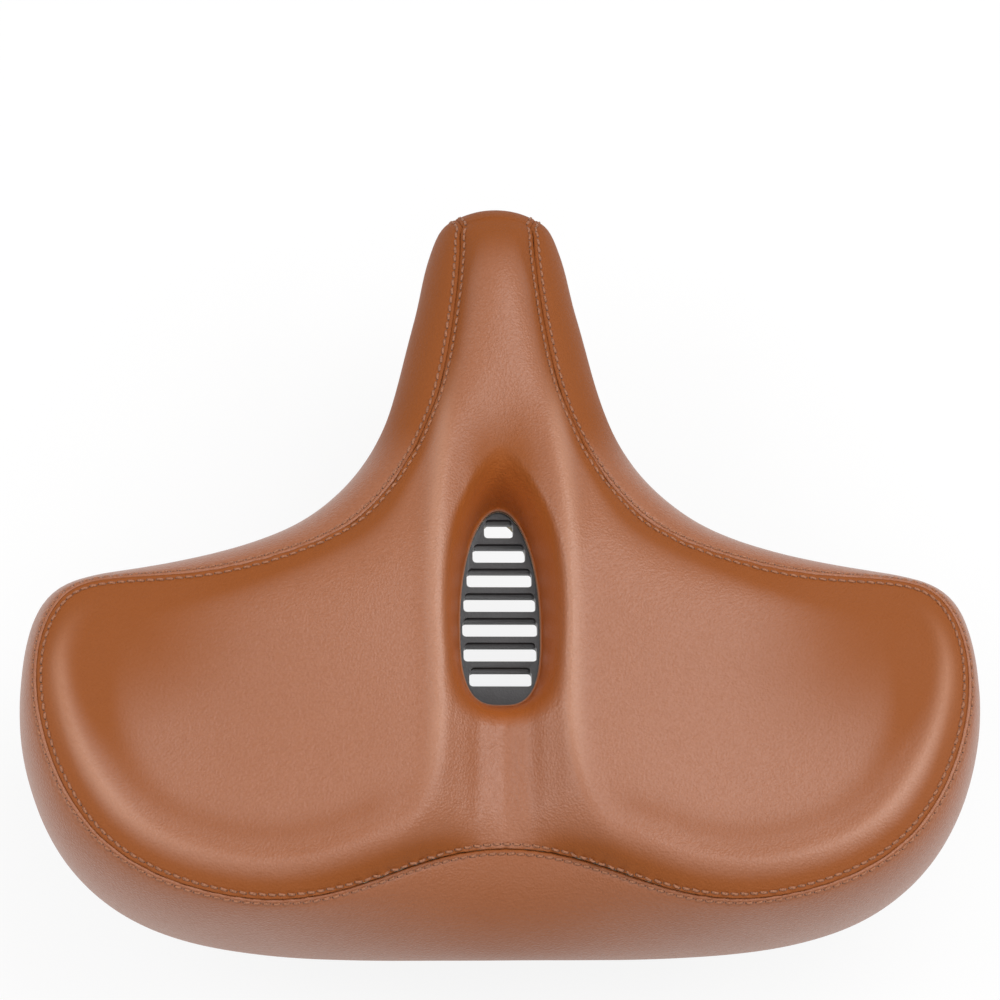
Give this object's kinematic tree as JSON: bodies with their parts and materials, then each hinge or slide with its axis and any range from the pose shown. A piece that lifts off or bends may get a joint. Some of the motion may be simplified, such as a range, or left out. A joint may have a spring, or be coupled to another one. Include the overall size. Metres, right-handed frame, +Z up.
{
  "type": "bicycle saddle",
  "caption": "Wide sprung comfort saddle with a sewn padded cover, slatted relief opening, coil springs, bent rails and a tilting, sliding rail clamp for a round seat post.",
  "frame": {"origin": "centre of the seat post bore at the collar's lower mouth", "axes": "+Y to the nose, +X to the rider's right, +Z up along the seat post"},
  "size_m": [0.35, 0.284, 0.126],
  "materials": {
    "cover_top": "smooth coated leather, soft sheen",
    "cover_side": "smooth coated leather, soft sheen",
    "foam": "open-cell moulded foam, matte",
    "base": "moulded black plastic, fine texture",
    "black_steel": "satin black coating",
    "clamp_steel": "black coated steel, worn edges",
    "zinc": "bright zinc plating",
    "chrome": "plated spring wire",
    "bush": "hard rubber"
  },
  "bodies": {
    "post_clamp": {"post_collar": "clamp_steel", "clamp_stud": "zinc"},
    "stud_nut_l": {"stud_nut_left": "zinc"},
    "stud_nut_r": {"stud_nut_right": "zinc"},
    "rail_clamp": {"clamp_washers": "zinc", "inner_cheek_left": "clamp_steel", "inner_cheek_right": "clamp_steel", "outer_cheek_left": "clamp_steel", "outer_cheek_right": "clamp_steel"},
    "undercarriage": {"rail_frame": "black_steel", "rear_bridge": "black_steel", "rail_clips": "black_steel", "clip_rivets": "zinc", "spring_seats_lower": "black_steel", "bridge_bolts": "zinc", "bridge_nuts": "zinc", "spring_left": "chrome", "spring_right": "chrome"},
    "seat": {"spring_seats_upper": "black_steel", "base_screws": "zinc", "nose_strap": "black_steel", "nose_bush": "bush", "strap_screws": "zinc", "base_shell": "base", "foam_cushion": "foam", "top_panel": "cover_top", "side_panel": "cover_side", "hem_staples": "zinc"}
  },
  "joints": [
    {"name": "saddle_tilt", "type": "hinge", "parent": "post_clamp", "child": "rail_clamp", "pos_m": [0, -0.019, 0.018], "axis": [1, 0, 0], "range_deg": [-15, 15]},
    {"name": "saddle_slide", "type": "slide", "parent": "rail_clamp", "child": "undercarriage", "axis": [0, 1, 0], "range_m": [-0.036, 0.004]},
    {"name": "suspension", "type": "hinge", "parent": "undercarriage", "child": "seat", "pos_m": [0, 0.14, 0.066], "axis": [1, 0, 0], "range_deg": [0, 4], "stiffness_Nm_per_rad": 1200, "deforming": ["spring_left", "spring_right"]},
    {"name": "nut_left_turn", "type": "hinge", "parent": "post_clamp", "child": "stud_nut_l", "pos_m": [-0.036, -0.019, 0.018], "axis": [-1, 0, 0], "continuous": true},
    {"name": "nut_right_turn", "type": "hinge", "parent": "post_clamp", "child": "stud_nut_r", "pos_m": [0.036, -0.019, 0.018], "axis": [1, 0, 0], "continuous": true}
  ]
}
